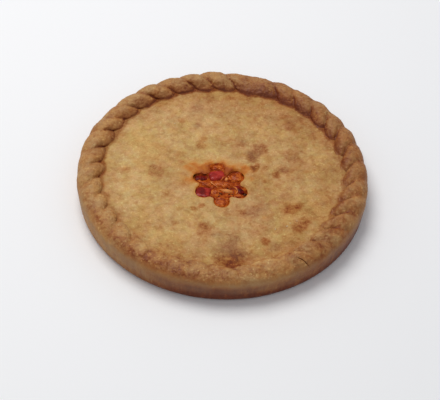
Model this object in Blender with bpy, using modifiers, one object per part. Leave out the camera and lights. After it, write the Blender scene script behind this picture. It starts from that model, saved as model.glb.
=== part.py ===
# A round chicken pie: a case with a twisted rope edge, a lid with a flower-shaped
# vent, and a cooked filling whose pieces show in the vent. Units are metres.
import math
import random

import bmesh
import bpy

MM = 0.001
GAP = 0.3 * MM

# The case, from the base up
BASE_RADIUS = 116.0 * MM
BASE_THICKNESS = 5.0 * MM
CAVITY_FLOOR_RADIUS = 98.0 * MM
CAVITY_TOP_RADIUS = 100.0 * MM
LEDGE_Z = 17.0 * MM
SEAT_RADIUS = 104.3 * MM
OVERHANG_Z = 21.5 * MM

# The rope edge: strands laid round a tube
ROPE_RADIUS = 109.8 * MM
ROPE_CENTRE_Z = 17.4 * MM
ROPE_HALF_WIDTH = 10.4 * MM
ROPE_HALF_HEIGHT = 9.7 * MM
FOOT_RADIUS = 98.0 * MM
STRANDS = 36
STRAND_STATIONS = (0.0, 0.13, 0.37, 0.63, 0.87)
ROPE_ROW_ANGLES = (152, 133, 114, 96, 78, 60, 42, 24, 6)
CREASE_START = 3.4
CREASE_WAVE = 2.3
CREASE_WAVE_TURN = 75.0
CREASE_JITTER = 0.8
LAY_TO_CREST = 6.0
LAY_TO_WALL = 9.0
STRAND_ROUNDNESS = 0.6
POCKET_ROUNDNESS = 1.0
INNER_CREASE_DEPTH = 4.0 * MM
OUTER_CREASE_DEPTH = 1.5 * MM
CREASE_DEPTH_RANGE = (0.75, 1.15)
WALL_CREASE_SHARE = 0.4
STRAND_SWELL = 0.45
STRAND_UNEVENNESS = 0.5 * MM
RUFFLE = 0.35 * MM
STRAND_SEED = 11
RUFFLE_SEED = 29

# Strands end in a nearly even line on the lid, and in lobes at the front left and
# right, where the creases widen into pockets. The left's outer side is nearly smooth.
SCALLOP_SHARES = (0.35, 0.65)
LOWEST_INNER_Z = 21.9 * MM
LOBE_ANGLE = 228.0
LOBE_SPREAD = 40.0
POCKET_ANGLE = 322.0
POCKET_SPREAD = 45.0
POCKET_DEPTH_SHARE = 1.4
SMOOTH_SIDE_ANGLE = 215.0
SMOOTH_SIDE_SPREAD = 95.0
SMOOTH_SIDE_SHARE = 0.35

# The front of the edge is pressed flat, and one double strand leans over the lid
FRONT_ANGLE = 262.0
FRONT_SPREAD = 72.0
FRONT_SINK = 1.8 * MM
FRONT_REACH = 2.2 * MM
FRONT_CREASE_SHARE = 0.55
DRAWN_BACK_ANGLE = 277.0
DRAWN_BACK_SPREAD = 15.0
DRAWN_BACK_REACH = 4.5 * MM
DOUBLE_STRAND_ANGLE = 77.0
DOUBLE_STRAND_SPREAD = 11.0
DOUBLE_STRAND_REACH = 3.6 * MM
DOUBLE_STRAND_CREASE = 0.12

# The wall below the rope: radius and height of each bend
WALL_BENDS = ((119.8, 12.0), (119.2, 7.5), (118.4, 3.2), (117.6, 1.1))

# The lid
LID_RADIUS = SEAT_RADIUS - GAP
LID_UNDERSIDE_Z = LEDGE_Z + GAP
LID_RIM_Z = OVERHANG_Z - GAP
LID_TOP_Z = 21.7 * MM
LID_RIM_START = 93.0 * MM
LID_RIM_BLEND = 6.0 * MM
LID_SWELL = 0.45 * MM
ROLL_ALONG_X = 61.0
ROLL_ALONG_Y = 47.0
ROLL_ACROSS = (97.0, -83.0)
ROLL_ACROSS_SHARE = 0.7
LID_RINGS = (0.025, 0.08, 0.17, 0.29, 0.43, 0.57, 0.71, 0.83, 0.93)
LIP_DROP = 0.5 * MM

# The vent, about its own centre: petal circles as x, y and radius, and between them
# the angle and radius of each notch, all in millimetres and degrees
VENT_CENTRE = (-1.5 * MM, -15.7 * MM)
VENT_PETALS = (
    (12.6, 10.7, 6.8),
    (-3.2, 18.5, 6.4),
    (-17.2, 8.1, 5.4),
    (-13.4, -7.1, 7.1),
    (1.8, -17.1, 6.6),
    (15.6, -6.1, 7.0),
)
VENT_NOTCHES = (
    (12.3, 16.4),
    (61.0, 12.8),
    (128.0, 17.2),
    (178.0, 17.0),
    (241.0, 14.8),
    (309.5, 14.9),
)
VENT_POINTS = 84
VENT_SAMPLES = 720

# The filling
FILLING_STEPS = 60
PIT_RADIUS = 26.6 * MM
PIT_FLOOR_Z = 15.0 * MM
PIECE_FLOOR_Z = PIT_FLOOR_Z + GAP
PIECE_SEGMENTS = 12
PIECE_RINGS = 8
PIECE_RUFFLE = 0.05
PIECE_FLATNESS = 0.7
PEPPER_SQUARENESS = 0.66
CHICKEN_SQUARENESS = 0.85

# Pieces in the vent: place from the vent's centre, half sizes, top height, turn, lean,
# all in millimetres and degrees
RED_PEPPERS = {
    "red_pepper_back": ((-3.5, 12.0), (6.1, 4.9), 21.1, 14, -6),
    "red_pepper_left": ((-13.6, -7.3), (6.2, 5.5), 20.4, -6, -4),
    "red_pepper_right": ((15.2, -1.6), (5.0, 2.2), 20.0, -52, 0),
    "red_pepper_tip": ((-15.9, 9.6), (4.7, 2.4), 18.9, 4, 0),
}
CHICKEN_PIECES = {
    "chicken_middle": ((2.2, 2.3), (8.4, 3.5), 20.9, -8, 0),
    "chicken_left": ((-12.3, 2.6), (5.3, 2.7), 20.0, -20, 0),
    "chicken_low": ((-4.2, -7.2), (3.1, 4.4), 20.4, 10, 4),
    "chicken_round": ((12.7, 10.8), (5.7, 5.3), 21.2, 10, 0),
    "chicken_back": ((-3.2, 21.0), (4.8, 2.8), 20.2, 0, 0),
    "chicken_front": ((1.8, -17.0), (5.7, 5.4), 21.0, 12, -4),
    "chicken_right": ((15.3, -9.3), (4.4, 2.5), 19.4, 16, 0),
}
# Onion pieces also have a bend, as the rise of their middle over their ends
ONION_PIECES = {
    "onion_strip": ((5.9, -4.7), (6.0, 1.6), 20.8, -6, 0.02),
    "onion_bit": ((4.7, 8.5), (1.4, 2.3), 20.4, -12, 0.0),
}

CRUST_COLOUR = (0.45, 0.24, 0.09, 1.0)
LID_COLOUR = (0.62, 0.40, 0.18, 1.0)
SAUCE_COLOUR = (0.50, 0.11, 0.02, 1.0)
PEPPER_COLOUR = (0.45, 0.03, 0.02, 1.0)
CHICKEN_COLOUR = (0.62, 0.20, 0.05, 1.0)
ONION_COLOUR = (0.72, 0.38, 0.14, 1.0)


def clear_scene():
    for item in list(bpy.data.objects):
        bpy.data.objects.remove(item, do_unlink=True)


def new_collection(name):
    collection = bpy.data.collections.new(name)
    bpy.context.scene.collection.children.link(collection)
    return collection


def new_material(name, colour, roughness):
    material = bpy.data.materials.new(name)
    material.use_nodes = True
    shader = material.node_tree.nodes["Principled BSDF"]
    shader.inputs["Base Color"].default_value = colour
    shader.inputs["Roughness"].default_value = roughness
    shader.inputs["Metallic"].default_value = 0.0
    return material


def place(item, collection, parent, material):
    for owner in list(item.users_collection):
        owner.objects.unlink(item)
    collection.objects.link(item)
    item.parent = parent
    item.data.materials.clear()
    item.data.materials.append(material)
    item.data.shade_smooth()
    return item


def smooth_bump(angle, middle, spread):
    """One at the middle angle and nought beyond the spread, in degrees."""
    away = abs((angle - middle + 180.0) % 360.0 - 180.0)
    if away >= spread:
        return 0.0
    return 0.5 + 0.5 * math.cos(math.pi * away / spread)


def smooth_step(value, low, high):
    share = min(max((value - low) / (high - low), 0.0), 1.0)
    return share * share * (3.0 - 2.0 * share)


def turned_object(name, profile, steps):
    """A solid turned round Z from a profile that ends on the axis at both ends."""
    mesh = bpy.data.meshes.new(name)
    points = [(radius, 0.0, height) for radius, height in profile]
    edges = [(index, index + 1) for index in range(len(points) - 1)]
    mesh.from_pydata(points, edges, [])
    item = bpy.data.objects.new(name, mesh)
    bpy.context.scene.collection.objects.link(item)
    screw = item.modifiers.new("Turn", "SCREW")
    screw.axis = "Z"
    screw.steps = steps
    screw.render_steps = steps
    screw.use_merge_vertices = True
    screw.merge_threshold = 0.00001
    apply_modifiers(item)
    return item


def apply_modifiers(item):
    bpy.context.view_layer.update()
    evaluated = item.evaluated_get(bpy.context.evaluated_depsgraph_get())
    shaped = bpy.data.meshes.new_from_object(evaluated)
    item.modifiers.clear()
    item.data = shaped


def crease_angles(draw):
    """Where each crease starts at the foot, in degrees, unevenly spaced."""
    angles = []
    for number in range(STRANDS):
        even = 360.0 * number / STRANDS
        wave = CREASE_WAVE * math.sin(math.radians(even - CREASE_WAVE_TURN))
        jitter = draw.uniform(-CREASE_JITTER, CREASE_JITTER)
        angles.append(even + CREASE_START + wave + jitter)
    return angles


def rope_row(turn):
    """A point on the rope's own round section, at a turn in degrees from outward."""
    angle = math.radians(turn)
    radius = ROPE_RADIUS + ROPE_HALF_WIDTH * math.cos(angle)
    height = ROPE_CENTRE_Z + ROPE_HALF_HEIGHT * math.sin(angle)
    return radius, height


def case_profile():
    """The case's section, from the axis over the rope and back to the axis."""
    inside = [
        (0.0, BASE_THICKNESS),
        (CAVITY_FLOOR_RADIUS, BASE_THICKNESS),
        (CAVITY_TOP_RADIUS, LEDGE_Z),
        (SEAT_RADIUS, LEDGE_Z),
        (SEAT_RADIUS, OVERHANG_Z),
    ]
    rope = [(FOOT_RADIUS, OVERHANG_Z)]
    rope += [rope_row(turn) for turn in ROPE_ROW_ANGLES]
    wall = [(radius * MM, height * MM) for radius, height in WALL_BENDS]
    base = [(BASE_RADIUS, 0.0), (0.0, 0.0)]
    return inside, rope, wall, base


def strand_height(share, angle):
    """How far a strand swells between its two creases, from nought to one."""
    if not 0.0 < share < 1.0:
        return 0.0
    pocket = smooth_bump(angle, POCKET_ANGLE, POCKET_SPREAD)
    return math.sin(math.pi * share) ** (STRAND_ROUNDNESS + (POCKET_ROUNDNESS - STRAND_ROUNDNESS) * pocket)


class RopeShape:
    """Moves the turned case's points so that its edge becomes a twisted rope."""

    def __init__(self):
        draw = random.Random(STRAND_SEED)
        self.creases = crease_angles(draw)
        self.depths = [draw.uniform(*CREASE_DEPTH_RANGE) for number in range(STRANDS)]
        self.heights = [draw.uniform(-1.0, 1.0) for number in range(STRANDS)]
        self.ruffles = random.Random(RUFFLE_SEED)
        double = min(range(STRANDS), key=self.distance_to_double)
        self.depths[double] = DOUBLE_STRAND_CREASE

    def distance_to_double(self, number):
        return abs(self.creases[number] - DOUBLE_STRAND_ANGLE)

    def column(self, number):
        """A column's foot angle, its strand height and its crease depth."""
        strand, station = divmod(number, len(STRAND_STATIONS))
        share = STRAND_STATIONS[station]
        start = self.creases[strand]
        following = (strand + 1) % STRANDS
        width = (self.creases[following] - start) % 360.0
        depth = self.depths[strand] * (1.0 - share) + self.depths[following] * share
        angle = start + width * share
        swell = strand_height(share, angle)
        return angle, swell, depth, self.heights[strand] * swell

    def lay(self, row, rows):
        """How far the strands have turned at a row, from foot to wall."""
        crest = ROPE_ROW_ANGLES.index(96) + 1
        if row <= crest:
            return LAY_TO_CREST * row / crest
        beyond = (row - crest) / (rows - 1 - crest)
        return LAY_TO_CREST + (LAY_TO_WALL - LAY_TO_CREST) * beyond

    def crease_depth(self, angle, inward, row):
        """How deep a full crease is at an angle, and how far towards the lid."""
        front = smooth_bump(angle, FRONT_ANGLE, FRONT_SPREAD)
        pocket = smooth_bump(angle, POCKET_ANGLE, POCKET_SPREAD)
        smooth_side = smooth_bump(angle, SMOOTH_SIDE_ANGLE, SMOOTH_SIDE_SPREAD)
        outer = OUTER_CREASE_DEPTH * (1.0 - (1.0 - SMOOTH_SIDE_SHARE) * smooth_side)
        inner = INNER_CREASE_DEPTH * (1.0 + (POCKET_DEPTH_SHARE - 1.0) * pocket)
        crease = outer + (inner - outer) * inward
        crease *= 1.0 - (1.0 - FRONT_CREASE_SHARE) * front
        if row < len(SCALLOP_SHARES):
            lobe = max(smooth_bump(angle, LOBE_ANGLE, LOBE_SPREAD), pocket)
            crease *= SCALLOP_SHARES[row] + (1.0 - SCALLOP_SHARES[row]) * lobe
        return crease

    def moved(self, row, rows, number, radius, height):
        """The new place of a rope point, from its row and its column."""
        foot, swell, depth, unevenness = self.column(number)
        angle = foot + self.lay(row, rows)
        inward = 1.0 - row / (rows - 1)
        out_r = (radius - ROPE_RADIUS) / ROPE_HALF_WIDTH
        out_z = (height - ROPE_CENTRE_Z) / ROPE_HALF_HEIGHT
        length = math.hypot(out_r, out_z)
        front = smooth_bump(angle, FRONT_ANGLE, FRONT_SPREAD)
        push = depth * self.crease_depth(angle, inward, row) * (swell - 1.0 + STRAND_SWELL)
        push += STRAND_UNEVENNESS * unevenness + self.ruffles.uniform(-RUFFLE, RUFFLE)
        if row == rows - 1:
            push *= WALL_CREASE_SHARE
        lean = DOUBLE_STRAND_REACH * smooth_bump(angle, DOUBLE_STRAND_ANGLE, DOUBLE_STRAND_SPREAD)
        lean += FRONT_REACH * front
        lean -= DRAWN_BACK_REACH * smooth_bump(angle, DRAWN_BACK_ANGLE, DRAWN_BACK_SPREAD)
        radius += push * out_r / length - lean * inward ** 2
        if row == 0:
            return angle, radius, height
        height += push * out_z / length - FRONT_SINK * front * max(out_z, 0.0)
        return angle, radius, max(height, LOWEST_INNER_Z) if row == 1 else height


def make_case(collection, parent, material):
    inside, rope, wall, base = case_profile()
    profile = inside + rope + wall + base
    columns = STRANDS * len(STRAND_STATIONS)
    item = turned_object("pastry_case", profile, columns)
    shape = RopeShape()
    rows = len(rope)
    wall_turn = shape.lay(rows - 1, rows)
    for vertex in item.data.vertices:
        x, y, height = vertex.co
        radius = math.hypot(x, y)
        if radius < GAP:
            continue
        number = round(math.degrees(math.atan2(y, x)) * columns / 360.0) % columns
        near = min(range(len(profile)), key=lambda i: math.dist(profile[i], (radius, height)))
        row = near - len(inside)
        angle = shape.column(number)[0]
        if 0 <= row < rows:
            angle, radius, height = shape.moved(row, rows, number, radius, height)
        elif row >= rows:
            angle += wall_turn
        turn = math.radians(angle)
        vertex.co = (radius * math.cos(turn), radius * math.sin(turn), height)
    return place(item, collection, parent, material)


def notch_radius(angle):
    """The vent's radius away from its petals, blended between the notches."""
    for number, (start, radius) in enumerate(VENT_NOTCHES):
        end, next_radius = VENT_NOTCHES[(number + 1) % len(VENT_NOTCHES)]
        share = ((angle - start) % 360.0) / ((end - start) % 360.0)
        if share <= 1.0:
            return radius + (next_radius - radius) * smooth_step(share, 0.0, 1.0)
    return VENT_NOTCHES[0][1]


def vent_radius(angle):
    """How far the vent reaches at an angle: out to the petal circle, if one is there."""
    turn = math.radians(angle)
    reach = notch_radius(angle)
    for x, y, radius in VENT_PETALS:
        along = x * math.cos(turn) + y * math.sin(turn)
        across = y * math.cos(turn) - x * math.sin(turn)
        if along > 0.0 and abs(across) < radius:
            reach = max(reach, along + math.sqrt(radius ** 2 - across ** 2))
    return reach


def vent_outline():
    """The flower-shaped outline, as points at even distances along it."""
    dense = []
    for sample in range(VENT_SAMPLES + 1):
        angle = 360.0 * sample / VENT_SAMPLES
        reach = vent_radius(angle) * MM
        turn = math.radians(angle)
        dense.append((VENT_CENTRE[0] + reach * math.cos(turn), VENT_CENTRE[1] + reach * math.sin(turn)))
    lengths = [0.0]
    for here, following in zip(dense, dense[1:]):
        lengths.append(lengths[-1] + math.dist(here, following))
    points = []
    place_on = 0
    for number in range(VENT_POINTS):
        wanted = lengths[-1] * number / VENT_POINTS
        while lengths[place_on + 1] < wanted:
            place_on += 1
        share = (wanted - lengths[place_on]) / (lengths[place_on + 1] - lengths[place_on])
        x = dense[place_on][0] + (dense[place_on + 1][0] - dense[place_on][0]) * share
        y = dense[place_on][1] + (dense[place_on + 1][1] - dense[place_on][1]) * share
        points.append((x, y))
    return points


def lid_height(x, y):
    """The lid's top: gently uneven, and lower where it runs under the rope."""
    radius = math.hypot(x, y)
    rolls = math.sin(ROLL_ALONG_X * x) * math.cos(ROLL_ALONG_Y * y)
    rolls += ROLL_ACROSS_SHARE * math.sin(ROLL_ACROSS[0] * x + ROLL_ACROSS[1] * y)
    rim = smooth_step(radius, LID_RIM_START - LID_RIM_BLEND, LID_RIM_START)
    free = LID_TOP_Z + LID_SWELL * rolls
    return free * (1.0 - rim) + LID_RIM_Z * rim


def lid_ring(outline, share, height):
    """Points between the vent and the rim; no height means the lid's own top."""
    ring = []
    for number, (x, y) in enumerate(outline):
        angle = 2.0 * math.pi * number / len(outline)
        rim_x = LID_RADIUS * math.cos(angle)
        rim_y = LID_RADIUS * math.sin(angle)
        here_x = x + (rim_x - x) * share
        here_y = y + (rim_y - y) * share
        z = lid_height(here_x, here_y) if height is None else height
        ring.append((here_x, here_y, z))
    return ring


def make_lid(collection, parent, material):
    """A loft from the flower-shaped vent to the round rim, closed all round."""
    outline = vent_outline()
    lip_z = LID_TOP_Z - LIP_DROP
    rings = [lid_ring(outline, 0.0, LID_UNDERSIDE_Z), lid_ring(outline, 0.0, lip_z)]
    rings += [lid_ring(outline, share, None) for share in LID_RINGS]
    rings.append(lid_ring(outline, 1.0, LID_RIM_Z))
    rings.append(lid_ring(outline, 1.0, LID_UNDERSIDE_Z))
    shape = bmesh.new()
    loops = [[shape.verts.new(point) for point in ring] for ring in rings]
    count = len(outline)
    for number, inner in enumerate(loops):
        outer = loops[(number + 1) % len(loops)]
        for index in range(count):
            following = (index + 1) % count
            shape.faces.new((inner[index], outer[index], outer[following], inner[following]))
    bmesh.ops.recalc_face_normals(shape, faces=shape.faces)
    mesh = bpy.data.meshes.new("pastry_lid")
    shape.to_mesh(mesh)
    shape.free()
    return place(bpy.data.objects.new("pastry_lid", mesh), collection, parent, material)


def make_filling(collection, cutters, parent, material):
    """The cooked filling, with a pit under the vent for the pieces that show."""
    slope = (CAVITY_TOP_RADIUS - CAVITY_FLOOR_RADIUS) / (LEDGE_Z - BASE_THICKNESS)
    bottom = BASE_THICKNESS + GAP
    top = LEDGE_Z
    top_radius = CAVITY_FLOOR_RADIUS + slope * (top - BASE_THICKNESS) - GAP
    profile = [(0.0, top), (top_radius, top), (CAVITY_FLOOR_RADIUS - GAP, bottom), (0.0, bottom)]
    item = turned_object("filling", profile, FILLING_STEPS)
    depth = LID_TOP_Z - PIT_FLOOR_Z
    bpy.ops.mesh.primitive_cylinder_add(
        vertices=FILLING_STEPS,
        radius=PIT_RADIUS,
        depth=depth,
        location=(VENT_CENTRE[0], VENT_CENTRE[1], PIT_FLOOR_Z + depth / 2.0),
    )
    cutter = bpy.context.active_object
    cutter.name = "pit_cutter"
    cutter.hide_render = True
    cutter.display_type = "WIRE"
    for owner in list(cutter.users_collection):
        owner.objects.unlink(cutter)
    cutters.objects.link(cutter)
    cut = item.modifiers.new("Pit", "BOOLEAN")
    cut.operation = "DIFFERENCE"
    cut.solver = "EXACT"
    cut.object = cutter
    return place(item, collection, parent, material)


def squared(value, power):
    return math.copysign(abs(value) ** power, value)


def make_piece(name, spot, half_size, top_z, turn, lean=0.0, bend=0.0, power=CHICKEN_SQUARENESS):
    """A cooked lump: a ball squared off, flattened, ruffled, leant and bent."""
    low = PIECE_FLOOR_Z
    half_height = (top_z * MM - low) / 2.0
    bpy.ops.mesh.primitive_uv_sphere_add(segments=PIECE_SEGMENTS, ring_count=PIECE_RINGS, radius=1.0)
    item = bpy.context.active_object
    item.name = name
    item.data.name = name
    draw = random.Random(name)
    tilt = math.tan(math.radians(lean))
    for vertex in item.data.vertices:
        swell = 1.0 - PIECE_RUFFLE * draw.random()
        x = squared(vertex.co.x, power) * half_size[0] * swell
        y = squared(vertex.co.y, power) * half_size[1] * swell
        y += bend * (x * x - half_size[0] ** 2 / 2.0)
        z = squared(vertex.co.z, PIECE_FLATNESS) * half_height
        z += tilt * y * MM * max(vertex.co.z, 0.0)
        vertex.co = (x * MM, y * MM, z)
    item.location = (VENT_CENTRE[0] + spot[0] * MM, VENT_CENTRE[1] + spot[1] * MM, low + half_height)
    item.rotation_euler = (0.0, 0.0, math.radians(turn))
    return item


def make_pieces(collection, parent, pepper, chicken, onion):
    for name, (spot, half_size, top_z, turn, lean) in RED_PEPPERS.items():
        item = make_piece(name, spot, half_size, top_z, turn, lean=lean, power=PEPPER_SQUARENESS)
        place(item, collection, parent, pepper)
    for name, (spot, half_size, top_z, turn, lean) in CHICKEN_PIECES.items():
        item = make_piece(name, spot, half_size, top_z, turn, lean=lean)
        place(item, collection, parent, chicken)
    for name, (spot, half_size, top_z, turn, bend) in ONION_PIECES.items():
        item = make_piece(name, spot, half_size, top_z, turn, bend=bend)
        place(item, collection, parent, onion)


def centre_on_box(parent, widest):
    """Moves the whole so that the box of its widest part is centred on Z."""
    xs = [vertex.co.x for vertex in widest.data.vertices]
    ys = [vertex.co.y for vertex in widest.data.vertices]
    parent.location = (-(min(xs) + max(xs)) / 2.0, -(min(ys) + max(ys)) / 2.0, 0.0)


def main():
    clear_scene()
    collection = new_collection("chicken_pie")
    cutters = new_collection("cutters")
    parent = bpy.data.objects.new("pie_centre", None)
    collection.objects.link(parent)
    crust = new_material("crust", CRUST_COLOUR, 0.75)
    lid = new_material("lid", LID_COLOUR, 0.7)
    sauce = new_material("sauce", SAUCE_COLOUR, 0.3)
    pepper = new_material("pepper", PEPPER_COLOUR, 0.2)
    chicken = new_material("chicken", CHICKEN_COLOUR, 0.4)
    onion = new_material("onion", ONION_COLOUR, 0.3)
    case = make_case(collection, parent, crust)
    make_lid(collection, parent, lid)
    make_filling(collection, cutters, parent, sauce)
    make_pieces(collection, parent, pepper, chicken, onion)
    centre_on_box(parent, case)


main()
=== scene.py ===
# The looks of a round chicken pie: baked pastry with a twisted rope edge, a mottled
# lid with a flower-shaped vent, and a wet filling of chicken, pepper and onion.
import math
import random

import bmesh
import bpy
import numpy as np
from mathutils import Matrix, Vector, noise
from mathutils.bvhtree import BVHTree
from mathutils.kdtree import KDTree


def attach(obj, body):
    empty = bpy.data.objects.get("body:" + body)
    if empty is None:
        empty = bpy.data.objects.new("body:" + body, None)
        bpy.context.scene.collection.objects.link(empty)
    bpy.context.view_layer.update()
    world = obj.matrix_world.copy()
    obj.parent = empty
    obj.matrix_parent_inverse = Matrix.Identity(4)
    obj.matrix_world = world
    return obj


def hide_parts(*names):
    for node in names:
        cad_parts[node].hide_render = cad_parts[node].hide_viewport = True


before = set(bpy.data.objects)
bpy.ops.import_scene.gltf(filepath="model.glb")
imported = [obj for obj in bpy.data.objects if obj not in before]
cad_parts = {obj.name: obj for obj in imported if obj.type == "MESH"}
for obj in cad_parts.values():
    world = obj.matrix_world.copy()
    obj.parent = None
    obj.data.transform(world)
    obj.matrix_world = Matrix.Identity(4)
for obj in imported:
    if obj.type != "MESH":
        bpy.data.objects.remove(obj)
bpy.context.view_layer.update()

MM = 0.001

# The camera, fitted to the photo: the lens in pixels of a picture 440 wide
PHOTO_SIZE = (440, 400)
CAMERA_DISTANCE = 1.1
CAMERA_ELEVATION = 47.06
CAMERA_ROLL = 2.99
LENS_PIXELS = 1315.5
BASE_CENTRE_PIXEL = (222, 188.9)
SENSOR_WIDTH = 36

# Places on the pie, in millimetres from its centre
VENT_CENTRE = (-1.5, -15.7)
VENT_REACH = 24
LID_TOP = 21.7
SAUCE_LEVEL = 19.3
FILLING_RADIUS = 99.4
FILLING_LOW = 5.4
FILLING_TOP = 17
MOUND_RADIUS = 27
# Points lower than this are on the flat underside
UNDERSIDE = 0.3
# The radii between which the rope begins, and where its foot is if it isn't found
ROPE_START = (90, 96)
ROPE_FOOT = 99.0
# Even steps in which the rope's foot and the vent's wall are measured, all round
ROPE_STEPS = 180
VENT_STEPS = 120
FAR_AWAY = 1e9
DROP_HEIGHT = 60

# The grain's layers of noise, from broad to wide in make_pastry_grain: lump width in
# millimetres, detail, roughness, distortion and shift
GRAIN_NOISES = (
    (18, 3, 0.55, 0, 0), (7, 3, 0.6, 0.15, 0), (2.6, 3, 0.65, 0.1, 0), (1.1, 2, 0.6, 0, 0),
    (2, 2, 0.5, 0.4, 0.3), (4, 2, 0.5, 0.7, 0.5), (7, 4, 0.65, 0, 0.7), (24, 2, 0.5, 0, 0.9),
    (4, 2, 0.5, 0, 1.1), (30, 2, 0.5, 0, 1.3),
)

# The floor, the room's own light and one wide lamp, in metres and watts
FLOOR_WIDTH = 6
ROOM_COLOUR = (0.97, 0.98, 1, 1)
ROOM_LIGHT = 0.46
LAMP_PLACE = (-0.45, 0.55, 1.5)
LAMP_WIDTH = 1.1
LAMP_POWER = 15.7
LAMP_COLOUR = (1, 0.98, 0.95)

# Around the pie: the middle and width of each hump, in degrees from the right, and
# its amount. First come the smoother parts of the rope and how far it leans inwards,
# in millimetres, then the toasting of each part. The darkening on the rope's inside
# and foot and on the wall is partly painted shade.
ROPE_CALM = ((250, 85, 0.6), (90, 75, 0.35), (175, 50, 0.25))
ROPE_OVERHANG = ((82, 95, 2.2), (175, 50, 1))
ROPE_TOAST = (
    (258, 36, 0.13), (160, 40, 0.08), (14, 50, 0.24), (66, 34, 0.22), (115, 30, 0.1), (316, 34, 0.24),
)
ROPE_INSIDE_TOAST_AND_SHADE = ((342, 24, 0.2), (306, 30, -0.18))
ROPE_FOOT_TOAST_AND_SHADE = ((85, 120, 0.22), (170, 45, 0.1), (14, 26, -0.16))
WALL_TOAST_AND_SHADE = ((272, 34, 0.26), (338, 28, 0.26))
# The middle and width of the case's front, right and back, in degrees
FRONT = (262, 75)
RIGHT = (340, 75)
BACK = (82, 108)
# Where the lid darkens towards the rope, partly browning and partly painted shade from the rope: how early,
# in millimetres, and how much
LID_EDGE_REACH = ((198, 28, 1.4), (158, 18, 2.4), (344, 9, 1.8))
LID_EDGE_TOAST_AND_SHADE = ((95, 130, 0.42), (186, 45, 0.24), (342, 24, 0.34))

# Toasted spots on the lid and the rope's foot: x, y, radius, toasting, and how grey
SPOTS = (
    (3, -98, 7, 0.26, 0), (13, -97, 9, 0.28, 0), (28, -95, 6, -0.1, 0), (72, -65, 5, -0.12, 0),
    (0, -93, 5, 0.16, 0.3), (14, -87, 9, 0.24, 0.7), (4, -83, 9, 0.13, 0.9), (-1, -71, 5, 0.1, 0.8),
    (11, -74, 6, 0.27, 0.8), (-12, -64, 8, 0.32, 0.2), (-14, -60, 4, 0.08, 0.3), (36, -74, 4.5, 0.36, 0),
    (44, -78, 6, 0.18, 0.8), (63, -57, 6, 0.26, 0.1), (68, -51, 5, 0.25, 0.1), (57, -39, 7, 0.3, 0),
    (63, -34, 4, 0.26, 0), (52, -42, 4, 0.14, 0.2), (25, -43, 8, 0.14, 0.8), (17, -44, 3.5, 0.24, 0),
    (33, -38, 6, 0.07, 0.5), (-22, -44, 3, 0.34, 0), (-16, -40, 3, 0.28, 0), (-34, -45, 3, 0.12, 0),
    (-36, -60, 3.5, 0.2, 0), (-48, -52, 4, 0.08, 0), (-44, -28, 5.5, 0.2, 0), (-55, -3, 7, 0.24, 0.4),
    (-50, -6, 3, 0.1, 0.2), (-60, -8, 3, 0.16, 0.2), (-81, -5, 5, 0.18, 0), (-78, -14, 4, 0.14, 0),
    (-44, -46, 14, -0.05, 0), (-34, 8, 3, 0.18, 0), (25, 4, 4, 0.56, 0), (28, 8, 3, 0.3, 0),
    (31, -4, 9, 0.12, 0.1), (44, -1, 4, 0.38, 0), (50, 5, 6, 0.28, 0.6), (36, 6, 3, 0.22, 0),
    (24, 20, 7, 0.36, 1), (24, 13, 5, 0.24, 0.6), (30, 28, 7, 0.38, 0.6), (35, 25, 2.5, 0.24, 0),
    (16, 34, 5, 0.16, 0.8), (-20, 29, 5.5, 0.24, 0), (-18, 36, 4, 0.2, 0.1), (-37, 57, 4, 0.18, 0),
    (-23, 52, 4, 0.16, 0.9), (-25, 73, 6, 0.08, 0.8), (48, 69, 5, 0.08, 0), (55, 57, 7, 0.2, 0.6),
    (-14, 86, 6, 0.18, 0.5), (2, 88, 4, 0.16, 0.3), (74, 45, 5, 0.1, 0.3), (58, 22, 8, 0.16, 0.5),
    (80, 28, 5, 0.05, 0.3), (86, 6, 7, 0.06, 0.4), (84, -12, 5, 0.08, 0.3), (-74, 28, 5, 0.1, 0),
    (-63, -30, 11, 0.1, 0), (-30, -16, 5, 0.14, 0), (-30, -31, 11, -0.08, 0), (32, -60, 11, 0.1, 0.2),
)
# Browner and paler places on the rope: x, y, radius and toasting
ROPE_SPOTS = (
    (-60, -87, 8, -0.12), (-54, -98, 7, 0.2), (-76, -84, 9, 0.11), (-67, -96, 8, 0.04),
    (-38, -103, 5, 0.1), (-31, -108, 6, 0.14), (-42, -94, 6, -0.08), (-96, -64, 7, 0.08),
    (-66, -79, 5, 0.12), (-72, -74, 5, -0.1), (76, -68, 5, -0.12), (-23, -108, 6, -0.12),
    (-42, -110, 6, -0.1), (-86, -58, 6, -0.12), (-96, -33, 6, -0.1), (28, -98, 6, -0.14),
    (31, -105, 5, 0.06), (2, -109, 6, 0.12), (46, -103, 6, 0.06), (48, -91, 6, -0.1), (57, -91, 5, 0.1),
    (62, -85, 5, -0.12), (73, -86, 6, -0.18), (76, -79, 5, 0.1), (82, -73, 6, -0.14), (92, -72, 5, -0.14),
    (92, -62, 6, 0.18), (85, -58, 5, -0.1), (105, -42, 6, 0.12), (98, -32, 7, 0.14), (94, -50, 6, 0.1),
    (53, -100, 4, -0.12),
)
# Orange sauce on the lid: x, y, radius and strength
SAUCE_DRIPS = (
    (-28, 3, 5, 0.5), (-34, 0, 6, 0.1), (-21, 5, 5, 0.26), (-12, 9, 5, 0.14), (-24, 10, 4.5, 0.22),
    (-15, 3, 5, 0.5), (5, 1, 4.5, 0.7), (19, 2, 4, 0.5), (17, 6, 4, 0.34), (10, 7, 4.5, 0.3),
    (23, -8, 4, 0.3), (-33, -12, 6.5, 0.26), (-60, -30, 12, 0.13), (30, -1, 9, 0.26), (-26, -12, 4, 0.22),
    (35, -49, 3, 0.4), (-62, 39, 6, 0.16), (-72, 30, 5, 0.1),
)
# Thin flakes of pastry lying on the lid, their pale colour partly painted highlights of glints: x, y, size
# and turn
FLAKES_AND_GLINTS = (
    (53.1, -57, 0.8, 20), (55.5, -53.6, 0.6, 140), (44, -60.8, 0.7, 60), (61, -51.1, 0.5, 100),
    (-43, 53, 0.6, 30), (-54, 36, 0.6, 75),
)
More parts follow.
